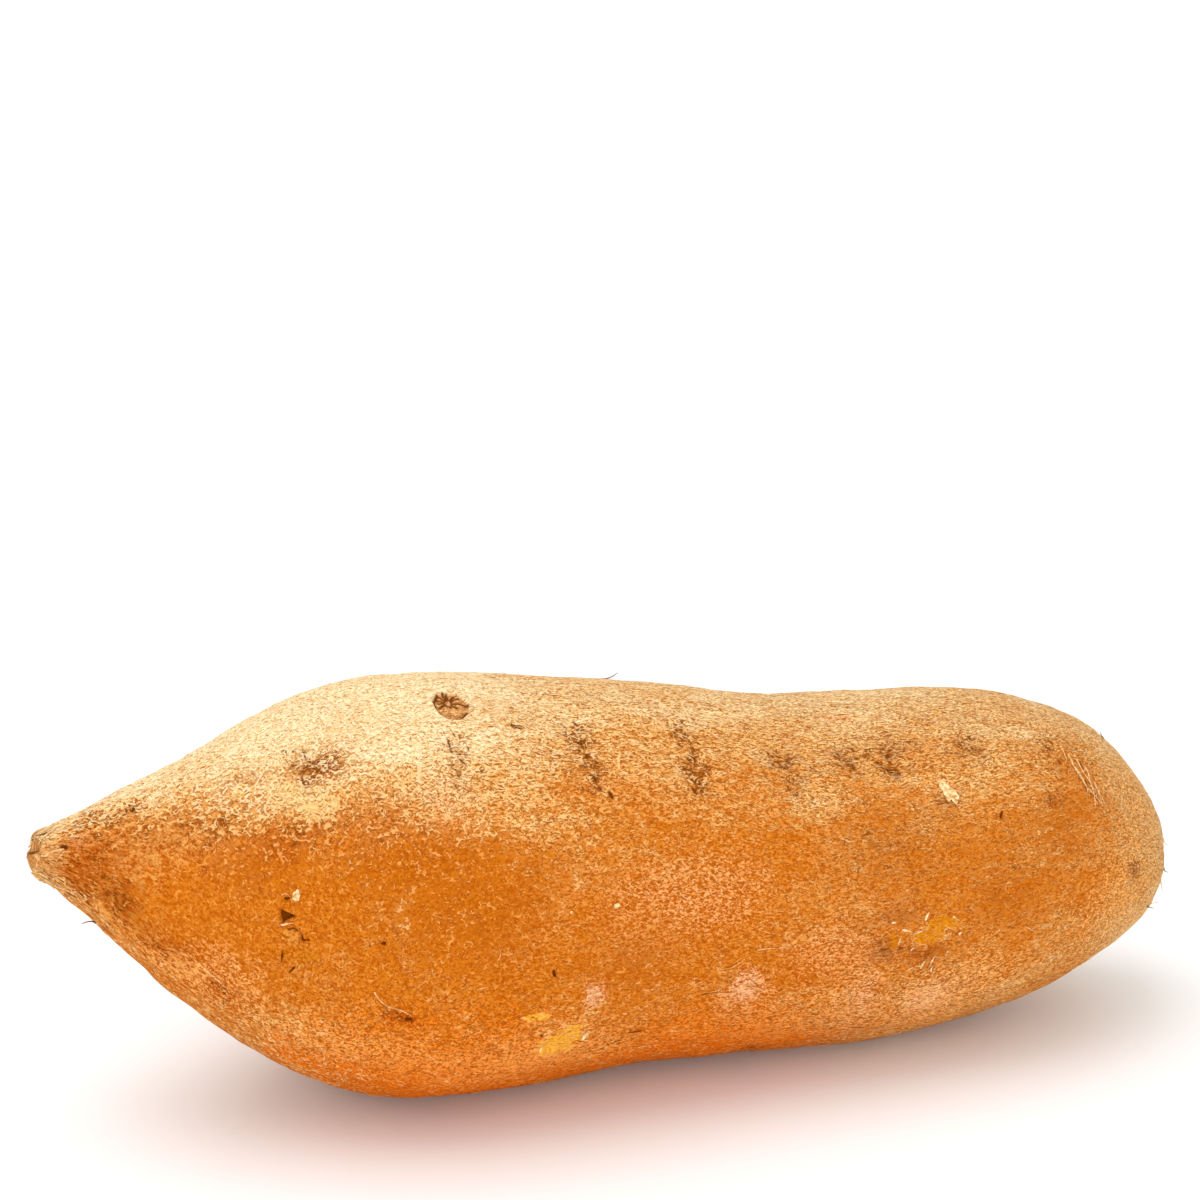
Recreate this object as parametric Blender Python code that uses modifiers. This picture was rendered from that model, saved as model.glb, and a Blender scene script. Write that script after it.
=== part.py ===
"""One sweet potato: a single storage root, grown in one piece, lying on the plane z = 0.

Metres, +Z up. The root lies along X: its pointed root end is at -X and its blunt crown end at +X.
The origin is on the resting plane, under the middle of the root.
"""

import math

import bmesh
import bpy

MM = 0.001

# Driving dimensions, in millimetres.
LENGTH = 184.0  # from the root end to the crown
WIDEST = 64.8  # across the thickest ring

# The shape of the root, ring by ring from the root end to the crown.
# place: share of LENGTH; girth: share of WIDEST; breadth: width over height of the ring;
# clear: gap in millimetres under the ring, negative where the skin is pressed flat on the table;
# sway: sideways shift in millimetres, positive to the back.
RINGS = (
    # place, girth, breadth, clear, sway
    (0.006, 0.098, 1.00, 40.9, 0.6),
    (0.020, 0.140, 1.00, 39.0, 0.5),
    (0.047, 0.232, 1.00, 34.4, 0.3),
    (0.085, 0.400, 1.00, 25.4, 0.0),
    (0.130, 0.578, 1.00, 17.2, -0.3),
    (0.180, 0.760, 1.00, 9.4, -0.6),
    (0.234, 0.921, 0.99, 3.3, -0.8),
    (0.294, 1.000, 0.99, -0.2, -0.8),
    (0.358, 1.000, 1.00, -0.8, -0.4),
    (0.429, 0.958, 1.01, -0.4, 0.2),
    (0.500, 0.918, 1.02, 0.4, 0.7),
    (0.576, 0.878, 1.02, 0.0, 0.5),
    (0.652, 0.852, 1.03, -0.9, -0.2),
    (0.728, 0.842, 1.02, -0.9, -0.7),
    (0.799, 0.812, 1.01, 0.6, -0.8),
    (0.864, 0.738, 1.01, 3.6, -0.8),
    (0.918, 0.616, 1.02, 7.4, -0.5),
    (0.962, 0.440, 1.03, 11.5, -0.2),
    (0.989, 0.252, 1.03, 16.0, 0.0),
)
ROOT_END_HEIGHT = 44.0
CROWN_HEIGHT = 23.8

# Broad swellings (+) and hollows (-) that break the round of the rings.
# place and facing (degrees round the root: 0 back, 90 up, 180 front, 270 down) give the middle,
# reach is the half size as a share of LENGTH and in degrees, and height is in millimetres.
SWELLINGS = (
    # place, facing, reach, spread, height
    (0.290, 138.0, 0.130, 26.0, 1.1),
    (0.270, 178.0, 0.150, 24.0, -0.9),
    (0.560, 118.0, 0.120, 30.0, 0.7),
    (0.700, 150.0, 0.110, 26.0, -0.6),
    (0.860, 190.0, 0.090, 32.0, 0.6),
    (0.330, 20.0, 0.120, 30.0, 1.2),
    (0.520, 345.0, 0.100, 28.0, -1.3),
    (0.760, 25.0, 0.120, 30.0, 1.0),
)

SEGMENTS = 12  # sides of each ring of the cage
SMOOTHING = 2  # subdivision levels
# Subdivision pulls a round ring of this many sides inside its cage by this share.
RING_PULL = (2.0 + math.cos(2.0 * math.pi / SEGMENTS)) / 3.0


def clear_scene():
    for old in list(bpy.data.objects):
        bpy.data.objects.remove(old, do_unlink=True)


def new_collection(name):
    collection = bpy.data.collections.new(name)
    bpy.context.scene.collection.children.link(collection)
    return collection


def turn_between(angle, other):
    """Degrees from one facing to another, the short way round."""
    return (angle - other + 180.0) % 360.0 - 180.0


def swelling_height(place, facing):
    """How far the skin stands out of its round ring here, in millimetres."""
    height = 0.0
    for middle, turned, reach, spread, peak in SWELLINGS:
        along = (place - middle) / reach
        around = turn_between(facing, turned) / spread
        height += peak * math.exp(-(along * along + around * around))
    return height


def cage_point(ring, direction):
    """A cage corner, in metres: ring counts from the root end, direction is round the ring in radians."""
    place, girth, breadth, clear, sway = RINGS[ring]
    half_height = girth * WIDEST / 2.0
    middle_height = clear + half_height
    out = swelling_height(place, math.degrees(direction))
    reach_up = half_height / RING_PULL + out
    reach_side = half_height * breadth / RING_PULL + out
    x = (place - 0.5) * LENGTH
    y = sway + reach_side * math.cos(direction)
    z = middle_height + reach_up * math.sin(direction)
    return x * MM, y * MM, z * MM


def root_cage():
    """A sphere whose rings are pulled out to the rings of the root, with its poles at the two ends."""
    bands = len(RINGS) + 1
    cage = bmesh.new()
    bmesh.ops.create_uvsphere(cage, u_segments=SEGMENTS, v_segments=bands, radius=1.0)
    for corner in cage.verts:
        band = round(math.acos(max(-1.0, min(1.0, corner.co.z))) / math.pi * bands)
        if band == 0:
            corner.co = (-0.5 * LENGTH * MM, RINGS[0][4] * MM, ROOT_END_HEIGHT * MM)
        elif band == bands:
            corner.co = (0.5 * LENGTH * MM, RINGS[-1][4] * MM, CROWN_HEIGHT * MM)
        else:
            direction = math.atan2(corner.co.y, corner.co.x)
            corner.co = cage_point(band - 1, direction)
    bmesh.ops.recalc_face_normals(cage, faces=cage.faces)
    mesh = bpy.data.meshes.new("sweet_potato")
    cage.to_mesh(mesh)
    cage.free()
    return mesh


def skin_material():
    material = bpy.data.materials.new("skin")
    material.use_nodes = True
    shader = material.node_tree.nodes["Principled BSDF"]
    shader.inputs["Base Color"].default_value = (0.63, 0.26, 0.07, 1.0)
    shader.inputs["Roughness"].default_value = 0.7
    shader.inputs["Metallic"].default_value = 0.0
    return material


def resting_block(collection):
    """The table under the root: what it takes off the two lowest swellings is the seat."""
    size = 2.0 * LENGTH * MM
    bpy.ops.mesh.primitive_cube_add(size=size, location=(0.0, 0.0, -size / 2.0))
    block = bpy.context.object
    block.name = "resting_block"
    for home in list(block.users_collection):
        home.objects.unlink(block)
    collection.objects.link(block)
    block.hide_render = True
    block.display_type = "WIRE"
    return block


def footprint_middle(root):
    """The middle of the finished root's box, seen from above."""
    bpy.context.view_layer.update()
    finished = root.evaluated_get(bpy.context.evaluated_depsgraph_get())
    places = [finished.matrix_world @ corner.co for corner in finished.data.vertices]
    xs = [place.x for place in places]
    ys = [place.y for place in places]
    return (min(xs) + max(xs)) / 2.0, (min(ys) + max(ys)) / 2.0


def build():
    clear_scene()
    parts = new_collection("sweet_potato")
    cutters = new_collection("cutters")

    root = bpy.data.objects.new("sweet_potato", root_cage())
    parts.objects.link(root)
    root.data.materials.append(skin_material())
    root.data.shade_smooth()

    smooth = root.modifiers.new("smooth", "SUBSURF")
    smooth.levels = SMOOTHING
    smooth.render_levels = SMOOTHING

    seat = root.modifiers.new("seat", "BOOLEAN")
    seat.operation = "DIFFERENCE"
    seat.object = resting_block(cutters)

    middle_x, middle_y = footprint_middle(root)
    root.location = (-middle_x, -middle_y, 0.0)


build()
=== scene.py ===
# %% [markdown]
# # A whole sweet potato
# The real thing is one storage root that swelled in the soil: a thin skin full of lengthwise
# fibres over solid flesh, drawn out to a point where the root went on and blunt where it hung
# from the plant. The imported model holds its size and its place, so this lesson only remakes the
# surface: a finer skin mesh with its scars, a few loose hairs and flakes, and the materials.

# %% Load the frame
import math
import random
from functools import partial

import bmesh
import bpy
import numpy as np
from mathutils import Matrix, Vector, noise
from mathutils.bvhtree import BVHTree


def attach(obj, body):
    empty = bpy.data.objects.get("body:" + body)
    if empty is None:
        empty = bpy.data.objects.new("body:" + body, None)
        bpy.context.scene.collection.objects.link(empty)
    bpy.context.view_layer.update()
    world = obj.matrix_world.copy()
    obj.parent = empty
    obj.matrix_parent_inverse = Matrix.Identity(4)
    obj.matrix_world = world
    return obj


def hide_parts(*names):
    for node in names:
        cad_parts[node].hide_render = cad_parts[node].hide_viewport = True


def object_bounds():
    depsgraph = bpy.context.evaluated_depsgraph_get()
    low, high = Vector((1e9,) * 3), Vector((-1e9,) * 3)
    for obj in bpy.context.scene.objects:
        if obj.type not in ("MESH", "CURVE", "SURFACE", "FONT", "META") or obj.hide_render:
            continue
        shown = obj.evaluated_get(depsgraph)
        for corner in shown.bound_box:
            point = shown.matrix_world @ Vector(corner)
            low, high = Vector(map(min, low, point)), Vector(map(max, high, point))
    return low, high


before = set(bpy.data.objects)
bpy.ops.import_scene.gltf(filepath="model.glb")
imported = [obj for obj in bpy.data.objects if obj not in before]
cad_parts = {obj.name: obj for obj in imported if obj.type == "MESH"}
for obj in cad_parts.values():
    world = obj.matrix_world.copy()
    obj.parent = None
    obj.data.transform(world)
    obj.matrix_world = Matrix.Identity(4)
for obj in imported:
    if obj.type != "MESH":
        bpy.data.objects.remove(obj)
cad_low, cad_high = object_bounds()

MM = 0.001
NODE = "sweet_potato"
ROOT_END = cad_low.x / MM  # where "along" counts from, in millimetres
LENGTH = (cad_high.x - cad_low.x) / MM
print(f"root {LENGTH:.1f} mm long, {(cad_high.z - cad_low.z) / MM:.1f} mm high")

# %% [markdown]
# ## The view, the table and the light
# A root this size fills a long lens from a little over half a metre away. The camera looks down
# at the root from its pointed side, and is then tipped up so that the root lies low in the
# frame. The table is a wide pale sheet. The light is a white room with a big soft panel overhead
# and a weaker one low in front, which together leave only soft shadows under the root.

# %% Camera
AZIMUTH = math.radians(-18.0)  # to the pointed end's side of straight on
ELEVATION = math.radians(22.0)
TIPPED_UP = math.radians(4.08)
DISTANCE = 0.6206
LOOK_AT = Vector((-0.0025, 0.0001, 0.0280))

lens = bpy.data.cameras.new("camera")
lens.lens = 120.0
lens.sensor_width = 36.0
lens.clip_start = 0.01
lens.clip_end = 50.0
camera = bpy.data.objects.new("camera", lens)
bpy.context.scene.collection.objects.link(camera)
towards_camera = Vector((
    math.sin(AZIMUTH) * math.cos(ELEVATION),
    -math.cos(AZIMUTH) * math.cos(ELEVATION),
    math.sin(ELEVATION),
))
camera.location = LOOK_AT + DISTANCE * towards_camera
camera.rotation_euler = (math.radians(90.0) - ELEVATION + TIPPED_UP, 0.0, AZIMUTH)
bpy.context.scene.camera = camera
print("camera at", [round(value, 3) for value in camera.location])


# %% Table
def plain_material(name, color, roughness):
    material = bpy.data.materials.new(name)
    material.use_nodes = True
    shader = material.node_tree.nodes["Principled BSDF"]
    shader.inputs["Base Color"].default_value = (*color, 1.0)
    shader.inputs["Roughness"].default_value = roughness
    return material


TABLE_REACH = 4.0
table_sheet = bmesh.new()
bmesh.ops.create_circle(table_sheet, cap_ends=True, segments=96, radius=TABLE_REACH)
table_mesh = bpy.data.meshes.new("table")
table_sheet.to_mesh(table_mesh)
table_sheet.free()
table = bpy.data.objects.new("table", table_mesh)
table.data.materials.append(plain_material("pale table", (0.90, 0.90, 0.90), 0.9))
bpy.context.scene.collection.objects.link(table)

# %% Light
ROOM_LIGHT = 0.95


def soft_panel(name, size, power, place, aim=Vector((0.0, 0.0, 0.03))):
    """A square area light at a place in metres, facing what it is aimed at."""
    panel = bpy.data.lights.new(name, "AREA")
    panel.shape = "SQUARE"
    panel.size = size
    panel.energy = power
    panel_object = bpy.data.objects.new(name, panel)
    panel_object.location = place
    panel_object.rotation_euler = (aim - Vector(place)).to_track_quat("-Z", "Y").to_euler()
    bpy.context.scene.collection.objects.link(panel_object)


soft_panel("overhead panel", 1.2, 8.0, (-0.35, 0.15, 1.3))
soft_panel("low front panel", 1.0, 8.4, (-0.10, -1.15, 0.06), Vector((0.0, 0.0, 0.0)))

room = bpy.data.worlds.new("white room")
room.use_nodes = True
room.node_tree.nodes["Background"].inputs["Color"].default_value = (1.0, 1.0, 1.0, 1.0)
room.node_tree.nodes["Background"].inputs["Strength"].default_value = ROOM_LIGHT
bpy.context.scene.world = room
bpy.context.scene.view_settings.view_transform = "Standard"

# %% [markdown]
# ## A finer copy of the root
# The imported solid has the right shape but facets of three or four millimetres. It could be voxel
# remeshed, but its faces already run in rings and lengthwise lines, which is how the skin's
# fibres run. So a copy is merged, its triangles are joined back into quads, and Subdivision
# Surface makes it smooth. The two flat seats get inset loops first, because subdivision would
# otherwise pull such big flat faces up off the table.

# %% Merge the copy and keep its seats flat
WELD = 1e-6
SEAT_LEVEL = 1e-5
SEAT_INSET = 0.7  # millimetres from a seat's rim to its inset loop
FINE_LEVELS = 2
JOIN_ANGLE = math.radians(40.0)


def smooth_copy(node):
    shell = bmesh.new()
    shell.from_mesh(node.data)
    bmesh.ops.remove_doubles(shell, verts=shell.verts, dist=WELD)
    bmesh.ops.join_triangles(
        shell, faces=shell.faces,
        angle_face_threshold=JOIN_ANGLE, angle_shape_threshold=JOIN_ANGLE)
    on_table = [face for face in shell.faces if max(v.co.z for v in face.verts) < SEAT_LEVEL]
    seats = bmesh.ops.dissolve_faces(shell, faces=on_table, use_verts=True)["region"]
    bmesh.ops.inset_individual(shell, faces=seats, thickness=SEAT_INSET * MM, use_even_offset=True)
    mesh = bpy.data.meshes.new("skin cage")
    shell.to_mesh(mesh)
    shell.free()
    mesh.attributes.remove(mesh.attributes["custom_normal"])
    cage = bpy.data.objects.new("skin cage", mesh)
    bpy.context.scene.collection.objects.link(cage)
    smooth = cage.modifiers.new("smooth", "SUBSURF")
    smooth.levels = FINE_LEVELS
    smooth.render_levels = FINE_LEVELS
    bpy.context.view_layer.update()
    fine = bpy.data.meshes.new_from_object(
        cage.evaluated_get(bpy.context.evaluated_depsgraph_get()))
    bpy.data.objects.remove(cage)
    lowest = min(vert.co.z for vert in fine.vertices) / MM
    print(f"{len(seats)} seats, {len(fine.vertices)} vertices, lowest {lowest:.3f} mm")
    return fine


skin_mesh = smooth_copy(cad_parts[NODE])
skin = bpy.data.objects.new("skin", skin_mesh)
bpy.context.scene.collection.objects.link(skin)
skin.data.shade_smooth()
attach(skin, "root")
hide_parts(NODE)

# %% [markdown]
# ## Finding a place on the root
# A mark on a root is easiest to place as a grower would say it: so many millimetres along from
# the pointed end, facing so many degrees round (0 to the back, 90 up, 180 to the front, 270
# down). The root bends a little, so its middle line is measured slice by slice, and a ray from
# outside finds the skin at that place. Each place gets its own three directions: out of the
# skin, lengthwise towards the crown, and across.

# %% Middle line
SLICES = 90


def places_of(mesh):
    """The mesh's vertices in millimetres, one row each."""
    flat = np.empty(len(mesh.vertices) * 3)
    mesh.vertices.foreach_get("co", flat)
    return flat.reshape(-1, 3) / MM


def middle_line(places):
    """Along, middle y, middle z and half height of the root, slice by slice."""
    along = places[:, 0] - ROOT_END
    edges = np.linspace(0.0, LENGTH, SLICES + 1)
    rows = []
    for start, end in zip(edges, edges[1:]):
        piece = places[(along >= start - 0.5) & (along <= end + 0.5)]
        low, high = piece.min(axis=0), piece.max(axis=0)
        rows.append(((start + end) / 2.0, *((low + high) / 2.0)[1:], (high[2] - low[2]) / 2.0))
    return np.array(rows).T


skin_places = places_of(skin_mesh)
line_along, line_y, line_z, line_radius = middle_line(skin_places)
print(f"thickest {2 * line_radius.max():.1f} mm at {line_along[line_radius.argmax()]:.0f} mm along")


# %% A place on the skin
class Spot:
    """A place on the skin, with its directions out, lengthwise and across, in millimetres."""

    def __init__(self, tree, along, facing, turned=0.0):
        middle = Vector((ROOT_END + along, np.interp(along, line_along, line_y),
                         np.interp(along, line_along, line_z)))
        round_root = math.radians(facing)
        outwards = Vector((0.0, math.cos(round_root), math.sin(round_root)))
        found, normal, _, _ = tree.ray_cast((middle + 90.0 * outwards) * MM, -outwards)
        self.along = along
        self.facing = facing
        self.place = found / MM
        self.out = normal
        lengthwise = (Vector((1.0, 0.0, 0.0)) - normal.x * normal).normalized()
        across = normal.cross(lengthwise)
        turn = math.radians(turned)
        self.lengthwise = math.cos(turn) * lengthwise + math.sin(turn) * across
        self.across = math.cos(turn) * across - math.sin(turn) * lengthwise

    def local(self, places):
        """Lengthwise, across and outward distances of many places from this one."""
        offset = places - np.array(self.place)
        return (offset @ np.array(self.lengthwise), offset @ np.array(self.across),
                offset @ np.array(self.out))

    def at(self, lengthwise, across, out=0.0):
        """One place near this one, as a Vector in millimetres."""
        return (self.place + lengthwise * self.lengthwise + across * self.across
                + out * self.out)


def tree_of(mesh):
    shell = bmesh.new()
    shell.from_mesh(mesh)
    tree = BVHTree.FromBMesh(shell)
    shell.free()
    return tree


smooth_tree = tree_of(skin_mesh)

# %% [markdown]
# ## What is on the skin
# These short lists are the root's marks. Side roots grow in lines down the root and leave short
# soil-filled creases when they break off. One thick root left a round scar with cracks like a
# star. The skin has peeled in a few patches, has a few holes, and is tinted by dust, soil and
# growth, with some painted light and shade among the tints. The far side is not a copy: it gets
# marks of its own of the same kinds.

# %% Marks
# Star scar: where the thick side root was, its reaches lengthwise and across, and its turn.
STAR_SCAR = {"along": 63.2, "facing": 104.5, "reach": (2.6, 4.4), "turned": -8.0}
# Its cracks, each as (degrees round the scar, how far out it runs).
STAR_CRACKS = (
    (-6, 1.30), (34, 1.05), (54, 0.95), (84, 0.92), (101, 0.95), (128, 0.80), (158, 0.92),
    (184, 0.75), (212, 0.85), (-38, 0.70), (-75, 0.45), (-110, 0.40),
)

# Rows of creases across the root: along, first facing, last facing, creases, depth, soil.
CREASE_ROWS = (
    (81.8, 111, 137, 11, 0.42, 0.95),
    (98.7, 109, 137, 13, 0.45, 1.00),
    (113.2, 120, 138, 8, 0.35, 0.80),
    (123.8, 117, 130, 6, 0.32, 0.90),
    (130.2, 118, 130, 6, 0.36, 0.95),
    (144.5, 117, 126, 4, 0.26, 0.70),
    (61.4, 117, 134, 8, 0.26, 0.75),
    (39.6, 109, 125, 8, 0.30, 0.85),
    (15.2, 100, 111, 2, 0.20, 0.50),
    (159.0, 118, 128, 4, 0.22, 0.60),
    (56.0, 38, 62, 9, 0.40, 0.90),
    (74.0, 30, 52, 8, 0.36, 0.80),
    (96.0, 34, 58, 10, 0.42, 0.90),
    (117.0, 30, 47, 7, 0.34, 0.80),
    (139.0, 36, 54, 7, 0.34, 0.70),
    (44.0, 322, 344, 8, 0.38, 0.80),
    (69.0, 318, 336, 7, 0.34, 0.70),
    (91.0, 320, 345, 9, 0.40, 0.90),
    (124.0, 316, 334, 7, 0.32, 0.70),
    (58.0, 240, 256, 6, 0.30, 0.60),
    (108.0, 236, 252, 6, 0.30, 0.60),
)

# Colours of bare and marked skin, as linear red, green and blue.
CREAM = (0.90, 0.60, 0.20)
PARCHMENT = (0.88, 0.64, 0.30)
BUTTER = (0.92, 0.47, 0.050)
OCHRE = (0.70, 0.26, 0.010)
TAN = (0.78, 0.36, 0.07)
BLUSH = (0.90, 0.43, 0.17)
CHALK = (0.96, 0.62, 0.32)
PINKISH = (1.0, 0.62, 0.36)
OLIVE = (0.40, 0.17, 0.022)
UMBER = (0.36, 0.13, 0.022)
GREY = (0.44, 0.24, 0.085)
RUSSET = (0.60, 0.19, 0.018)
FLAME = (0.56, 0.145, 0.004)
# Saturated orange made brighter for the underside: painted bounce light.
BOUNCE_LIT_ORANGE = (0.86, 0.20, 0.004)
FAWN = (1.0, 0.48, 0.13)

# Peeled patches with a torn edge: along, facing, reach lengthwise, across, turned, depth, colour.
PEELS = (
    (36.0, 127, 2.8, 2.2, -20, 0.14, PARCHMENT),
    (39.2, 132, 3.2, 2.4, -25, 0.14, PARCHMENT),
    (30.5, 120, 1.6, 1.0, -10, 0.06, CREAM),
    (13.1, 97, 1.6, 1.3, 0, 0.10, CREAM),
    (74.3, 209, 3.4, 2.7, 18, 0.12, BUTTER),
    (71.8, 212, 1.6, 1.6, 18, 0.12, BUTTER),
    (69.4, 199, 2.0, 0.7, -6, 0.08, BUTTER),
    (134.6, 181, 2.6, 1.5, 24, 0.14, OCHRE),
    (131.6, 184, 1.8, 1.3, 10, 0.14, OCHRE),
    (126.9, 184, 0.9, 1.3, 0, 0.12, OCHRE),
    (125.4, 102, 3.4, 1.1, 0, 0.08, BLUSH),
    (50.0, 15, 3.6, 2.4, 20, 0.10, CREAM),
    (88.0, 350, 2.6, 3.0, -10, 0.12, BUTTER),
    (128.0, 8, 4.2, 2.0, 12, 0.12, OCHRE),
    (152.0, 62, 2.4, 1.6, 30, 0.10, CREAM),
    (112.0, 292, 3.4, 2.0, -15, 0.10, BUTTER),
    (66.0, 60, 2.0, 1.4, 0, 0.08, CREAM),
)

# Blisters of loose skin: along, facing, reach lengthwise, across, turned, height.
BLISTERS = (
    (34.2, 174, 1.25, 1.05, -10, 0.45),
    (34.6, 180, 2.10, 2.10, 180, 0.14),
    (30.8, 182, 0.80, 0.75, 0, 0.12),
    (129.0, 190, 1.60, 1.10, 30, 0.16),
    (98.0, 12, 1.80, 1.30, 10, 0.25),
    (141.0, 20, 1.40, 1.10, -15, 0.20),
)

# Holes and short splits: along, facing, reach lengthwise, across, turned, depth, corners.
HOLES = (
    (33.4, 167, 1.00, 0.85, 0, 0.90, 3),
    (35.9, 174.6, 0.85, 0.20, 6, 0.35, 0),
    (33.8, 161, 0.60, 0.26, 0, 0.35, 0),
    (32.7, 182, 0.16, 1.10, -8, 0.25, 0),
    (34.0, 186, 0.18, 0.90, -38, 0.30, 0),
    (25.7, 216, 0.16, 0.95, 4, 0.30, 0),
    (46.4, 174, 0.40, 0.30, 20, 0.45, 0),
    (50.0, 197, 0.55, 0.45, 0, 0.60, 0),
    (71.9, 186, 0.28, 0.75, 15, 0.45, 0),
    (70.6, 206, 0.30, 0.25, 0, 0.40, 0),
    (146.2, 147, 0.26, 0.75, -25, 0.35, 0),
    (86.0, 212, 2.40, 0.20, 4, 0.25, 0),
    (83.2, 216, 1.40, 0.18, 4, 0.20, 0),
    (124.0, 222, 1.50, 0.20, 4, 0.25, 0),
    (83.6, 137, 0.35, 0.85, 15, 0.40, 0),
    (15.7, 107, 0.26, 0.50, 10, 0.35, 0),
    (71.6, 115, 1.10, 0.26, -25, 0.35, 0),
    (163.2, 129, 0.22, 0.90, 8, 0.35, 0),
    (163.0, 137, 0.20, 0.80, 0, 0.35, 0),
    (164.2, 143, 0.20, 0.60, 14, 0.30, 0),
    (165.6, 127, 0.24, 0.60, 20, 0.35, 0),
    (60.0, 355, 0.70, 0.50, 30, 0.50, 0),
    (103.0, 20, 0.50, 0.60, 0, 0.45, 3),
    (147.0, 330, 0.60, 0.45, 10, 0.45, 0),
)

# Soft stains, two of them painted bounce light on the underside: along, facing, reach lengthwise,
# across, strength, colour.
STAINS = (
    (11.7, 184, 5.5, 4.4, 0.55, OLIVE),
    (16.0, 196, 4.0, 3.0, 0.35, OLIVE),
    (20.0, 208, 9.0, 3.2, 0.75, FAWN),
    (9.0, 205, 4.0, 2.0, 0.75, FAWN),
    (9.0, 158, 5.0, 5.0, 0.45, (0.62, 0.25, 0.07)),
    (77.0, 123, 9.0, 5.0, 0.50, (0.80, 0.40, 0.11)),
    (7.4, 130, 1.7, 1.7, 0.95, (0.90, 0.46, 0.22)),
    (3.4, 180, 1.6, 1.8, 0.95, (0.62, 0.30, 0.10)),
    (34.2, 174, 1.3, 1.1, 0.95, (0.80, 0.34, 0.06)),
    (22.0, 130, 17.0, 6.0, 0.75, (0.74, 0.34, 0.09)),
    (46.0, 136, 8.0, 4.0, 0.60, (0.72, 0.33, 0.09)),
    (92.0, 130, 14.0, 7.0, 0.45, (0.74, 0.34, 0.09)),
    (35.3, 181, 2.2, 2.0, 0.45, (0.56, 0.20, 0.010)),
    (69.0, 110, 5.0, 5.0, 0.45, (0.74, 0.38, 0.10)),
    (41.0, 121, 4.0, 2.6, 0.60, RUSSET),
    (124.7, 187, 2.8, 2.2, 0.85, GREY),
    (127.0, 176, 6.0, 2.0, 0.40, UMBER),
    (132.0, 189, 4.5, 1.8, 0.35, UMBER),
    (128.0, 155, 12.0, 8.0, 0.45, RUSSET),
    (144.0, 160, 9.0, 6.0, 0.35, RUSSET),
    (103.1, 198, 2.8, 3.2, 0.90, PINKISH),
    (78.5, 194, 1.6, 2.0, 0.90, PINKISH),
    (134.1, 210, 5.0, 4.5, 0.95, PINKISH),
    (123.0, 205, 2.2, 6.0, 0.70, PINKISH),
    (120.6, 203, 3.0, 4.5, 0.50, BLUSH),
    (57.8, 137, 5.0, 3.5, 0.55, CHALK),
    (48.0, 110, 7.0, 7.0, 0.45, CHALK),
    (92.0, 168, 16.0, 7.0, 0.40, BLUSH),
    (118.0, 186, 10.0, 6.0, 0.35, BLUSH),
    (174.0, 169, 4.0, 8.0, 0.50, TAN),
    (52.0, 152, 12.0, 6.0, 0.80, FLAME),
    (30.0, 148, 9.0, 5.0, 0.65, FLAME),
    (60.2, 166, 14.0, 8.0, 0.65, FLAME),
    # Brighter orange under the root: painted bounce light.
    (55.0, 228, 34.0, 14.0, 0.90, BOUNCE_LIT_ORANGE),
    (100.0, 226, 30.0, 10.0, 0.90, BOUNCE_LIT_ORANGE),
    (70.0, 216, 13.0, 4.5, 0.85, FAWN),
    (142.0, 205, 11.0, 6.0, 0.40, FAWN),
    (40.0, 212, 12.0, 4.0, 0.60, FAWN),
    (112.0, 213, 10.0, 5.0, 0.45, FAWN),
    (136.0, 221, 12.0, 6.0, 0.60, FAWN),
    (172.0, 190, 12.0, 12.0, 0.60, FAWN),
    (176.0, 140, 8.0, 12.0, 0.60, FAWN),
    (85.0, 185, 8.0, 6.0, 0.55, FLAME),
    (156.0, 156, 8.0, 6.0, 0.55, FLAME),
    (147.0, 175, 7.0, 6.0, 0.45, FLAME),
    (24.0, 205, 9.0, 7.0, 0.40, BLUSH),
    (60.0, 350, 16.0, 10.0, 0.60, FLAME),
    (110.0, 340, 20.0, 12.0, 0.50, FLAME),
    (90.0, 10, 8.0, 6.0, 0.50, CHALK),
    (140.0, 350, 9.0, 7.0, 0.50, BLUSH),
    (30.0, 340, 7.0, 6.0, 0.55, OLIVE),
)
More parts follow.
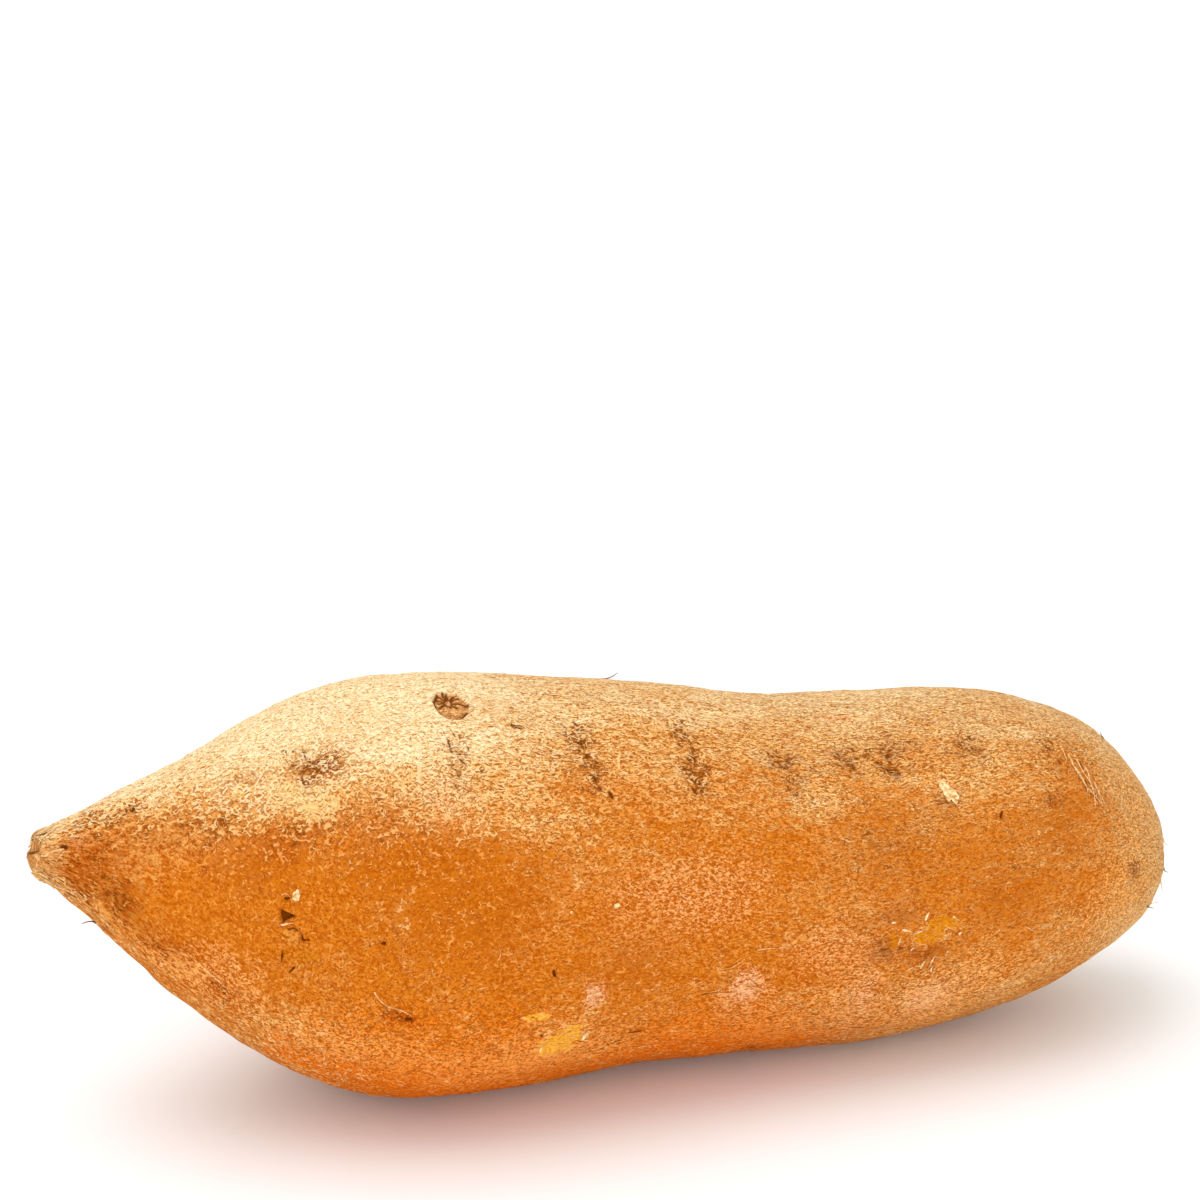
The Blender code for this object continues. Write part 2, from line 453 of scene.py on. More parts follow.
# Where soil is rubbed into the skin: along, facing, reach lengthwise, across, amount.
SOIL_SPOTS = (
    (11.7, 184, 5.5, 4.4, 0.95),
    (17.5, 204, 8.0, 4.5, 0.70),
    (8.0, 158, 7.0, 10.0, 0.85),
    (14.0, 130, 9.0, 7.0, 0.60),
    (25.0, 131, 12.0, 7.0, 0.66),
    (36.0, 140, 11.0, 5.5, 0.68),
    (48.0, 140, 8.0, 5.5, 0.60),
    (41.4, 120, 5.4, 4.4, 1.00),
    (31.0, 118, 6.0, 4.0, 0.55),
    (14.0, 110, 5.0, 3.0, 0.30),
    (60.0, 131, 7.0, 6.0, 0.44),
    (80.0, 128, 8.0, 6.0, 0.42),
    (99.0, 130, 7.0, 6.0, 0.46),
    (116.0, 126, 8.0, 5.0, 0.46),
    (131.0, 121, 9.0, 5.0, 0.60),
    (144.0, 120, 5.0, 4.0, 0.50),
    (161.0, 127, 6.0, 7.0, 0.45),
    (127.0, 199, 9.0, 4.0, 0.35),
    (125.4, 187, 3.4, 3.0, 0.85),
    (127.0, 176, 7.0, 2.4, 0.50),
    (131.4, 190, 5.0, 2.6, 0.70),
    (137.4, 184, 2.2, 1.6, 0.50),
    (126.0, 152, 11.0, 9.0, 0.42),
    (143.0, 172, 8.0, 6.0, 0.34),
    (171.0, 178, 2.6, 2.2, 0.80),
    (156.0, 144, 2.2, 1.8, 0.80),
    (100.0, 164, 7.0, 6.0, 0.22),
    (166.0, 152, 4.0, 9.0, 0.25),
    (147.0, 201, 1.4, 0.8, 0.60),
    (137.2, 140.0, 1.8, 1.8, 0.80),
    (24.8, 208, 4.0, 3.0, 0.90),
    (49.0, 196, 3.4, 2.4, 0.80),
    (75.0, 186, 2.4, 2.2, 0.35),
    (38.0, 200, 5.0, 4.0, 0.25),
    (62.0, 45, 12.0, 10.0, 0.35),
    (110.0, 40, 22.0, 9.0, 0.32),
    (84.0, 330, 24.0, 10.0, 0.32),
)
print(len(CREASE_ROWS), "rows of creases,", len(PEELS), "peels,", len(HOLES), "holes,",
      len(STAINS), "stains")

# %% [markdown]
# ## More faces where the marks are
# A crease is a third of a millimetre wide, finer than the skin mesh, and making the whole mesh
# that fine would take millions of faces. So only the faces near a mark are cut again, once or
# twice, with the bmesh subdivide operator.

# %% Cut the faces near marks
ZONE_MARGIN = 1.0
TIP_ZONE = 6.0  # millimetres of the pointed end cut once


def mark_zones():
    """(spot, lengthwise reach, across reach, how many times to cut) for each marked place."""
    zones = [(Spot(smooth_tree, STAR_SCAR["along"], STAR_SCAR["facing"]), 4.2, 5.0, 2)]
    for along, first, last, _, _, _ in CREASE_ROWS:
        spot = Spot(smooth_tree, along, (first + last) / 2.0)
        radius = np.interp(along, line_along, line_radius)
        half_span = math.radians(last - first) / 2.0 * radius
        zones.append((spot, 1.8, half_span, 1))
    for along, facing, reach, across, turned, _, _ in PEELS:
        zones.append((Spot(smooth_tree, along, facing, turned), reach, across, 1))
    for along, facing, reach, across, turned, _ in BLISTERS:
        zones.append((Spot(smooth_tree, along, facing, turned), reach, across, 2))
    for along, facing, reach, across, turned, _, _ in HOLES:
        cuts = 2 if max(reach, across) < 1.5 else 1
        zones.append((Spot(smooth_tree, along, facing, turned), reach, across, cuts))
    return zones


def cut_near_marks(mesh, zones):
    shell = bmesh.new()
    shell.from_mesh(mesh)
    for level in (1, 2):
        centres = np.array([face.calc_center_median() for face in shell.faces]) / MM
        chosen = (centres[:, 0] - ROOT_END < TIP_ZONE) & (level == 1)
        for spot, reach, across, cuts in zones:
            if cuts >= level:
                u, v, w = spot.local(centres)
                margin = ZONE_MARGIN / level
                inside = (abs(u) < reach + margin) & (abs(v) < across + margin) & (abs(w) < 6.0)
                chosen |= inside
        shell.faces.ensure_lookup_table()
        edges = {edge for index in np.flatnonzero(chosen) for edge in shell.faces[index].edges}
        bmesh.ops.subdivide_edges(shell, edges=list(edges), cuts=1, use_grid_fill=True)
    shell.to_mesh(mesh)
    triangles = sum(len(face.verts) - 2 for face in shell.faces)
    shell.free()
    print(f"skin has {len(mesh.vertices)} vertices, {triangles} triangles")


cut_near_marks(skin_mesh, mark_zones())
skin_mesh.shade_smooth()

# %% [markdown]
# ## Raising the surface
# Sculpting by hand would not give the same root twice, and a displacement texture can't know
# where a scar is. So each vertex is moved along its normal by a height worked out here, in
# millimetres: broad dents and fine lengthwise wrinkles from noise, then each mark's own shape.

# %% Heights from noise
base_places = places_of(skin_mesh)
flat_normals = np.empty(len(skin_mesh.vertices) * 3)
skin_mesh.vertices.foreach_get("normal", flat_normals)
base_normals = flat_normals.reshape(-1, 3)
along = base_places[:, 0] - ROOT_END
off_y = base_places[:, 1] - np.interp(along, line_along, line_y)
off_z = base_places[:, 2] - np.interp(along, line_along, line_z)
from_middle = np.maximum(np.hypot(off_y, off_z), 1e-6)
facing = np.degrees(np.arctan2(off_z, off_y)) % 360.0
height = np.zeros(len(base_places))


def noise_field(places, lengthwise, across, octaves, seed):
    """Smooth bumps from about -1 to 1, of the given size in millimetres along and across X."""
    scaled = places / np.array([lengthwise, across, across]) + 31.7 * seed
    return np.array([noise.fractal(Vector(place), 1.0, 2.0, octaves) for place in scaled])


def rise(value, low, high):
    """A smooth step from 0 at low to 1 at high."""
    share = np.clip((value - low) / (high - low), 0.0, 1.0)
    return share * share * (3.0 - 2.0 * share)


def bell(distance, reach):
    return np.exp(-(distance / reach) ** 2)


def facing_bell(middle, reach):
    """1 where the skin faces the middle angle, falling to nothing past the reach, in degrees."""
    return bell((facing - middle + 180.0) % 360.0 - 180.0, reach)


# Fibres run lengthwise and draw together at the ends, so their noise is read from grain
# coordinates: the distance over the skin, and the direction round the root on a barrel whose
# width changes much more slowly than the root's.
CROWN_ROUND = 27.0  # radius of the crown end, as a ball
crown_start = LENGTH - CROWN_ROUND
past_crown_start = np.maximum(along - crown_start, 0.0)
over_crown = CROWN_ROUND * np.arctan2(past_crown_start, from_middle)
grain_along = np.minimum(along, crown_start) + over_crown
barrel = 5.0 + 25.0 * rise(along, -8.0, 70.0) - 6.0 * rise(along, crown_start, LENGTH)
grain = np.stack((grain_along, barrel * off_y / from_middle, barrel * off_z / from_middle), axis=1)

height += 0.42 * noise_field(base_places, 17.0, 11.0, 2, 1)
height += (0.08 + 0.07 * facing_bell(105.0, 55.0)) * noise_field(grain, 6.0, 2.6, 2, 2)
height += 0.10 * noise_field(base_places, 2.6, 2.2, 1, 3)
height += 0.26 * rise(along, 30.0, 4.0) * noise_field(grain, 9.0, 2.2, 2, 4)
print(f"heights from noise: {height.min():.2f} to {height.max():.2f} mm")

# %% The pointed end
# It broke off the thin root that went on, at a slant: lower on its upper side, and rough.
height -= 0.9 * rise(along, 16.0, 4.0) * facing_bell(95.0, 60.0)
height -= 1.5 * rise(along, 3.6, 0.4) * facing_bell(110.0, 75.0)
height -= 0.5 * rise(along, 1.4, 0.2)
stub = rise(along, 6.0, 3.0)
height += 0.45 * stub * noise_field(grain, 3.0, 3.4, 2, 8)
stub_hollow = bell(np.hypot((along - 5.0) * 0.7, (facing - 140.0) * 0.10), 0.50)
height -= 0.8 * stub_hollow


# %% Paint that goes with the marks
def empty_field(value=0.0):
    return np.full(len(base_places), value)


class Paint:
    """What the materials read from the skin, a value for each vertex."""

    soil = empty_field()
    # The stub's hollow starts the dark mask: painted shade in the hollow.
    crack_and_shade = 0.9 * stub_hollow
    peel = empty_field(-1.0)
    peel_color = np.tile(np.array(CREAM), (len(base_places), 1))
    stain = empty_field()
    stain_color = np.tile(np.array(BLUSH), (len(base_places), 1))


ragged_coarse = noise_field(base_places, 1.8, 1.6, 2, 5)
ragged_fine = noise_field(base_places, 0.8, 0.7, 1, 6)
ragged_grain = noise_field(grain, 3.0, 0.9, 2, 7)


def marked(along_mm, facing_deg, turned=0.0):
    """A mark's spot, with every vertex's lengthwise and across distance and whether it is near."""
    spot = Spot(smooth_tree, along_mm, facing_deg, turned)
    u, v, w = spot.local(base_places)
    return u, v, (abs(w) < 7.0) & (abs(u) < 40.0)


# %% Creases where side roots grew
CREASE_SCATTER = 1.3  # millimetres a crease strays along the root from its row
CREASE_TURNS = (0.0, 38.0)
CREASE_LENGTHS = (0.6, 2.0)
CREASE_WIDTHS = (0.20, 0.34)
BLOT_SIZES = (1.1, 1.9)
BLOT_DENT = 0.22
dice = random.Random(5)


def crease(u, v, near, length, width, depth):
    """One groove along v, deepest in its middle, with a lip raised on both sides."""
    global height
    shape = bell(v, length / 2.0) * near
    across = u + 0.30 * ragged_coarse
    height -= depth * shape * bell(across, width)
    height += 0.40 * depth * shape * bell(abs(across) - 2.2 * width, width)
    Paint.crack_and_shade = np.maximum(Paint.crack_and_shade, 0.8 * shape * bell(across, width * 0.9))


for along_mm, first, last, count, depth, soil in CREASE_ROWS:
    radius = np.interp(along_mm, line_along, line_radius)
    half_span = math.radians(last - first) / 2.0 * radius
    u, v, near = marked(along_mm, (first + last) / 2.0)
    near = near & (abs(u) < 8.0)
    wander = u + 2.6 * ragged_coarse
    row_shape = near * bell(wander, 3.0) * rise(abs(v), half_span + 1.5, half_span - 2.0)
    height -= 0.12 * row_shape
    Paint.soil = np.maximum(Paint.soil, soil * row_shape * (0.60 + 0.7 * ragged_coarse))
    total = count * 2
    for index in range(total):
        where = first + (last - first) * (index + dice.uniform(0.0, 1.0)) / total
        along_row = along_mm + dice.gauss(0.0, CREASE_SCATTER)
        u, v, near = marked(along_row, where, dice.uniform(*CREASE_TURNS))
        crease(u, v, near, dice.uniform(*CREASE_LENGTHS), dice.uniform(*CREASE_WIDTHS),
               depth * dice.uniform(0.4, 1.0))
    for _ in range(max(1, count // 3)):
        u, v, near = marked(along_mm + dice.uniform(-1.0, 1.0), dice.uniform(first, last), 40.0)
        blot = near * bell(np.hypot(u, 0.7 * v) + 0.9 * ragged_coarse, dice.uniform(*BLOT_SIZES))
        height -= BLOT_DENT * blot
        Paint.soil = np.maximum(Paint.soil, blot * dice.uniform(0.55, 0.95))
print(f"deepest crease {height.min():.2f} mm")

# %% Soil rubbed into the skin
for along_mm, facing_deg, reach, across, amount in SOIL_SPOTS:
    u, v, near = marked(along_mm, facing_deg)
    spread = np.hypot(u / reach, v / across) * (1.0 + 0.4 * ragged_coarse)
    Paint.soil = np.maximum(Paint.soil, amount * near * bell(spread, 1.0))

# %% The star scar
u, v, near = marked(STAR_SCAR["along"], STAR_SCAR["facing"], STAR_SCAR["turned"])
reach_u, reach_v = STAR_SCAR["reach"]
from_star = np.hypot(u / reach_u, v / reach_v) + 0.07 * ragged_coarse
near_star = near & (from_star < 2.0)
inside_star = near_star * rise(from_star, 1.04, 0.92)
height += near_star * 0.22 * bell(from_star - 1.13, 0.12)
height -= 0.30 * inside_star
height += 0.26 * inside_star * bell(from_star - 0.50, 0.30)
# The cracks meet at the old core, which is not quite in the middle.
core_u, core_v = u / reach_u + 0.12, v / reach_v - 0.17
from_core = np.hypot(core_u, core_v)
round_core = np.degrees(np.arctan2(core_v, core_u))
star_crack_and_shadow = empty_field()
for direction, run in STAR_CRACKS:
    off_line = np.radians((round_core - direction + 180.0) % 360.0 - 180.0)
    side = 3.6 * from_core * np.sin(np.clip(off_line, -1.5, 1.5))
    line = bell(side + 0.10 * ragged_fine, 0.18 + 0.18 * from_core) * (abs(off_line) < 1.2)
    reach_share = rise(from_core, 0.06, 0.25) * rise(from_core, run, run - 0.2)
    star_crack_and_shadow = np.maximum(star_crack_and_shadow, line * reach_share)
# Along the scar's lower rim a dark line is painted shadow; it is also cut in a little.
painted_rim_shadow = bell(from_star - 0.93, 0.08) * np.maximum(v < -0.35 * reach_v, u < -0.55 * reach_u)
star_crack_and_shadow = near_star * np.maximum(star_crack_and_shadow, 0.85 * painted_rim_shadow)
height -= 0.45 * star_crack_and_shadow
height += 0.25 * near_star * bell(from_core, 0.10)
Paint.crack_and_shade = np.maximum(Paint.crack_and_shade, star_crack_and_shadow)
print("star scar covers", int((inside_star > 0.5).sum()), "vertices")

# %% Peeled patches
for along_mm, facing_deg, reach, across, turned, depth, color in PEELS:
    u, v, near = marked(along_mm, facing_deg, turned)
    field = 1.0 - np.hypot(u / reach, v / across)
    field += 0.55 * ragged_grain + 0.35 * ragged_coarse + 0.15 * ragged_fine
    field = np.where(near, np.clip(field, -1.0, 1.0), -1.0)
    taken = field > Paint.peel
    Paint.peel = np.where(taken, field, Paint.peel)
    Paint.peel_color[taken] = color
    edge = field * min(reach, across)
    height -= depth * rise(edge, 0.0, 0.30)
    height += 1.2 * depth * bell(edge + 0.22, 0.20) * (0.5 + 0.9 * ragged_coarse)

# %% Blisters
for along_mm, facing_deg, reach, across, turned, lift in BLISTERS:
    u, v, near = marked(along_mm, facing_deg, turned)
    size = np.hypot(u / reach, v / across) + 0.10 * ragged_coarse
    height += lift * near * rise(size, 1.05, 0.55)
    torn_side = rise(v + 0.7 * u, -0.2, 0.7) * near
    split = torn_side * bell((size - 1.08) * across, 0.20)
    height -= 0.9 * lift * split
    # The split along the torn side is darkened: painted shade in the gap under the lifted skin.
    darkness = min(0.75, (lift / 0.45) ** 2)
    Paint.crack_and_shade = np.maximum(Paint.crack_and_shade, split * darkness * (1.0 + ragged_fine))

# %% Holes and splits
for along_mm, facing_deg, reach, across, turned, depth, corners in HOLES:
    u, v, near = marked(along_mm, facing_deg, turned)
    size = np.hypot(u / reach, v / across)
    if corners:
        turns = [2.0 * math.pi * (corner + 0.5) / corners for corner in range(corners)]
        sides = [(math.cos(turn) * u / reach + math.sin(turn) * v / across) for turn in turns]
        size = 1.3 * np.max(sides, axis=0)
    size = size + 0.15 * ragged_coarse
    inside = near * rise(size, 1.12, 0.60)
    height -= depth * inside
    height += 0.28 * depth * near * bell(size - 1.45, 0.28)
    # Each hole's inside is darkened: painted shade.
    Paint.crack_and_shade = np.maximum(Paint.crack_and_shade, inside)
print(f"heights now {height.min():.2f} to {height.max():.2f} mm")

# %% Stains
for along_mm, facing_deg, reach, across, strength, color in STAINS:
    u, v, near = marked(along_mm, facing_deg)
    spread = np.hypot(u / reach, v / across) * (1.0 + 0.45 * ragged_coarse)
    amount = strength * bell(spread, 1.0) * near
    total = Paint.stain + amount
    share = np.where(total > 1e-6, amount / np.maximum(total, 1e-6), 0.0)[:, None]
    Paint.stain_color = Paint.stain_color * (1.0 - share) + np.array(color) * share
    Paint.stain = np.maximum(Paint.stain, amount)

# %% Dust and painted light
# Paler where the skin faces up: partly dry soil dust, partly a painted highlight from the overhead
# light. Near the pointed end it stops at a shoulder, farther on it thins out slowly, and the blunt
# end and the underside keep a little; on the underside the extra paleness is painted bounce light.
facing_up = base_normals[:, 2] + 0.16 * noise_field(base_places, 22.0, 12.0, 3, 9)
near_point = 0.20 * rise(facing_up, 0.1, 0.6) + 0.80 * rise(facing_up, 0.42, 1.0)
farther_on = np.clip(facing_up, 0.0, 1.0) ** 2
farther_on *= 0.86 - 0.16 * rise(along, 85.0, 120.0)
mix_share = rise(along, 58.0, 84.0)
dust_and_painted_light = near_point * (1.0 - mix_share) + farther_on * mix_share
dust_and_painted_light = dust_and_painted_light * (1.0 - 0.10 * rise(along, 140.0, 165.0)) + 0.85 * rise(along, 160.0, 181.0)
# Paler underside: painted bounce light from the table.
painted_underside_light = rise(facing_up, 0.0, -0.5)
dust_and_painted_light += painted_underside_light * (0.14 + 0.26 * rise(along, 105.0, 135.0) + 0.28 * rise(along, 55.0, 30.0))
dust_and_painted_light += 0.12 * rise(along, 95.0, 125.0) + 0.14 * rise(along, 28.0, 10.0) * rise(facing_up, 0.7, 0.3)
dust_and_painted_light += 0.28 * facing_bell(72.0, 26.0)
dust_and_painted_light -= 0.25 * rise(along, 34.0, 12.0) * rise(along, 3.0, 8.0) * rise(facing_up, 0.98, 0.7)
dust_and_painted_light += 0.30 * rise(along, 22.0, 34.0) * rise(along, 84.0, 58.0) * rise(facing_up, 0.55, 0.9)
print(f"dust from {dust_and_painted_light.min():.2f} to {dust_and_painted_light.max():.2f}, {dust_and_painted_light.mean():.2f} in the middle")

# %% Move the vertices and store the paint
TABLE_CLEARANCE = 2.0  # millimetres above the table in which the marks fade out
height *= rise(base_places[:, 2], 0.0, TABLE_CLEARANCE)
moved = base_places + height[:, None] * base_normals
moved[:, 2] = np.maximum(moved[:, 2], 0.0)
skin_mesh.vertices.foreach_set("co", (moved * MM).ravel())
skin_mesh.update()


def store(mesh, name, values, kind="FLOAT"):
    attribute = mesh.attributes.new(name, kind, "POINT")
    key = {"FLOAT": "value", "FLOAT_VECTOR": "vector", "FLOAT_COLOR": "color"}[kind]
    attribute.data.foreach_set(key, np.asarray(values, np.float32).ravel())


def with_alpha(colors):
    return np.concatenate((colors, np.ones((len(colors), 1))), axis=1)


store(skin_mesh, "grain", grain, "FLOAT_VECTOR")
store(skin_mesh, "dust_and_painted_light", dust_and_painted_light)
store(skin_mesh, "soil", Paint.soil)
store(skin_mesh, "crack_and_shade", Paint.crack_and_shade)
store(skin_mesh, "peel", Paint.peel)
store(skin_mesh, "peel color", with_alpha(Paint.peel_color), "FLOAT_COLOR")
store(skin_mesh, "stain", Paint.stain)
store(skin_mesh, "stain color", with_alpha(Paint.stain_color), "FLOAT_COLOR")
store(skin_mesh, "scar", inside_star)
store(skin_mesh, "stub", stub)
print(f"skin moved by {height.min():.2f} to {height.max():.2f} mm")

# %% [markdown]
# ## The skin's finish
# Sweet potato skin is matte and felted: short fibres lie along the root, paler on top and darker
# between, with brown specks; the pale tops and dark gaps are partly the fibres' own colour and
# partly painted highlight and shade. An image would show its edges at a seam, so the felt is noise
# stretched along the grain. The same effects are needed on the hairs and flakes, so each is a
# node group with named inputs.

# %% Short ways to build shader nodes
def feed(tree, socket, value):
    """Link a socket to another node's output, or give it a plain value."""
    if isinstance(value, bpy.types.NodeSocket):
        tree.links.new(value, socket)
    elif isinstance(value, tuple):
        socket.default_value = (*value, 1.0)
    else:
        socket.default_value = value


def add(tree, kind, settings=None, **values):
    node = tree.nodes.new(kind)
    for name, setting in (settings or {}).items():
        setattr(node, name, setting)
    for name, value in values.items():
        feed(tree, node.inputs[name.replace("_", " ")], value)
    return node


def calc(tree, operation, first, second=0.0, third=0.0):
    node = tree.nodes.new("ShaderNodeMath")
    node.operation = operation
    for socket, value in zip(node.inputs, (first, second, third)):
        feed(tree, socket, value)
    return node.outputs[0]


def ranged(tree, value, low, high, to_low=0.0, to_high=1.0):
    node = add(tree, "ShaderNodeMapRange", {"interpolation_type": "SMOOTHSTEP"}, Value=value,
               From_Min=low, From_Max=high, To_Min=to_low, To_Max=to_high)
    return node.outputs[0]


def mixed(tree, share, below, above, blend="MIX"):
    node = tree.nodes.new("ShaderNodeMix")
    node.data_type = "RGBA"
    node.blend_type = blend
    for index, value in ((0, share), (6, below), (7, above)):
        feed(tree, node.inputs[index], value)
    return node.outputs[2]


def ramp(tree, value, *stops):
    """A colour ramp; each stop is (place, colour)."""
    node = tree.nodes.new("ShaderNodeValToRGB")
    while len(node.color_ramp.elements) < len(stops):
        node.color_ramp.elements.new(0.5)
    for element, (place, color) in zip(node.color_ramp.elements, stops):
        element.position = place
        element.color = (*color, 1.0)
    feed(tree, node.inputs["Fac"], value)
    return node.outputs["Color"]


def read(tree, name, output="Fac"):
    node = tree.nodes.new("ShaderNodeAttribute")
    node.attribute_name = name
    return node.outputs[output]


def new_group(name, inputs, outputs):
    """An empty node group with its sockets, and its input and output nodes."""
    tree = bpy.data.node_groups.new(name, "ShaderNodeTree")
    for title, kind, value in inputs:
        socket = tree.interface.new_socket(name=title, in_out="INPUT", socket_type=kind)
        if value is not None:
            socket.default_value = value
    for title, kind in outputs:
        tree.interface.new_socket(name=title, in_out="OUTPUT", socket_type=kind)
    return tree, tree.nodes.new("NodeGroupInput").outputs, tree.nodes.new("NodeGroupOutput").inputs


def use_group(tree, group, **values):
    node = tree.nodes.new("ShaderNodeGroup")
    node.node_tree = group
    for name, value in values.items():
        feed(tree, node.inputs[name.replace("_", " ")], value)
    return node.outputs


FLOAT, VECTOR = "NodeSocketFloat", "NodeSocketVector"

# %% Group: fibre felt
felt_group, given, result = new_group(
    "fibre felt",
    [("Grain", VECTOR, None), ("Length", FLOAT, 1.2), ("Width", FLOAT, 0.35),
     ("Detail", FLOAT, 2.0), ("Waviness", FLOAT, 0.35), ("Seed", FLOAT, 0.0)],
    [("Value", FLOAT)])
across_scale = calc(felt_group, "DIVIDE", 1.0, given["Width"])
scale = add(felt_group, "ShaderNodeCombineXYZ", X=calc(felt_group, "DIVIDE", 1.0, given["Length"]),
            Y=across_scale, Z=across_scale)
stretched = felt_group.nodes.new("ShaderNodeVectorMath")
stretched.operation = "MULTIPLY_ADD"
feed(felt_group, stretched.inputs[0], given["Grain"])
feed(felt_group, stretched.inputs[1], scale.outputs[0])
feed(felt_group, stretched.inputs[2], given["Seed"])
fibres = add(felt_group, "ShaderNodeTexNoise", Vector=stretched.outputs[0], Scale=1.0,
             Detail=given["Detail"], Roughness=0.55, Distortion=given["Waviness"])
feed(felt_group, result["Value"], fibres.outputs["Fac"])

# %% Group: flecks
fleck_group, given, result = new_group(
    "flecks",
    [("Grain", VECTOR, None), ("Length", FLOAT, 0.6), ("Width", FLOAT, 0.3),
     ("Cover", FLOAT, 0.1), ("Softness", FLOAT, 0.04), ("Seed", FLOAT, 0.0)],
    [("Mask", FLOAT)])
felt = use_group(fleck_group, felt_group, Grain=given["Grain"], Length=given["Length"],
                 Width=given["Width"], Detail=1.0, Seed=given["Seed"])["Value"]
# The noise lies mostly from 0.3 to 0.7, so this much cover needs about this level.
level = ranged(fleck_group, given["Cover"], 0.0, 1.0, 0.72, 0.28)
mask = ranged(fleck_group, felt, calc(fleck_group, "SUBTRACT", level, given["Softness"]),
              calc(fleck_group, "ADD", level, given["Softness"]))
feed(fleck_group, result["Mask"], mask)

# %% Group: curled fibres
# The places where a noise crosses its middle value are thin curling lines. A second noise breaks
# them into short pieces.
curl_group, given, result = new_group(
    "curled fibres",
    [("Grain", VECTOR, None), ("Length", FLOAT, 1.0), ("Width", FLOAT, 0.7),
     ("Thickness", FLOAT, 0.05), ("Cover", FLOAT, 0.5), ("Seed", FLOAT, 0.0)],
    [("Mask", FLOAT)])
curls = use_group(curl_group, felt_group, Grain=given["Grain"], Length=given["Length"],
                  Width=given["Width"], Detail=1.0, Waviness=0.6, Seed=given["Seed"])["Value"]
off_line = calc(curl_group, "ABSOLUTE", calc(curl_group, "SUBTRACT", curls, 0.5))
line = ranged(curl_group, off_line, given["Thickness"],
              calc(curl_group, "MULTIPLY", given["Thickness"], 0.3))
pieces = use_group(curl_group, fleck_group, Grain=given["Grain"], Length=0.9, Width=0.7,
                   Cover=given["Cover"], Softness=0.05, Seed=21.0)["Mask"]
feed(curl_group, result["Mask"], calc(curl_group, "MULTIPLY", line, pieces))

# %% Group: torn edge
edge_group, given, result = new_group(
    "torn edge",
    [("Field", FLOAT, 0.0), ("Grain", VECTOR, None), ("Ragged", FLOAT, 0.1),
     ("Softness", FLOAT, 0.05), ("Rim", FLOAT, 0.15)],
    [("Mask", FLOAT), ("Rim", FLOAT)])
torn = use_group(edge_group, felt_group, Grain=given["Grain"], Length=1.0, Width=0.42,
                 Detail=2.0, Seed=9.0)["Value"]
torn_field = calc(edge_group, "MULTIPLY_ADD", calc(edge_group, "SUBTRACT", torn, 0.5),
                  given["Ragged"], given["Field"])
inside = ranged(edge_group, torn_field, calc(edge_group, "MULTIPLY", given["Softness"], -1.0),
                given["Softness"])
feed(edge_group, result["Mask"], inside)
rim_distance = calc(edge_group, "DIVIDE", calc(edge_group, "ABSOLUTE", torn_field), given["Rim"])
patchy = use_group(edge_group, felt_group, Grain=given["Grain"], Length=2.2, Width=1.6,
                   Detail=1.0, Seed=12.0)["Value"]
rim = calc(edge_group, "MULTIPLY", ranged(edge_group, rim_distance, 1.0, 0.2),
           ranged(edge_group, patchy, 0.46, 0.60))
feed(edge_group, result["Rim"], rim)


# %% Skin material
WHITE = (1.0, 1.0, 1.0)
DARK_GAP = (0.36, 0.085, 0.003)
GRAIN_RELIEF = 0.0003  # metres of bump between the deepest gap and the tallest fibre
SKIN_SHINE = 0.02


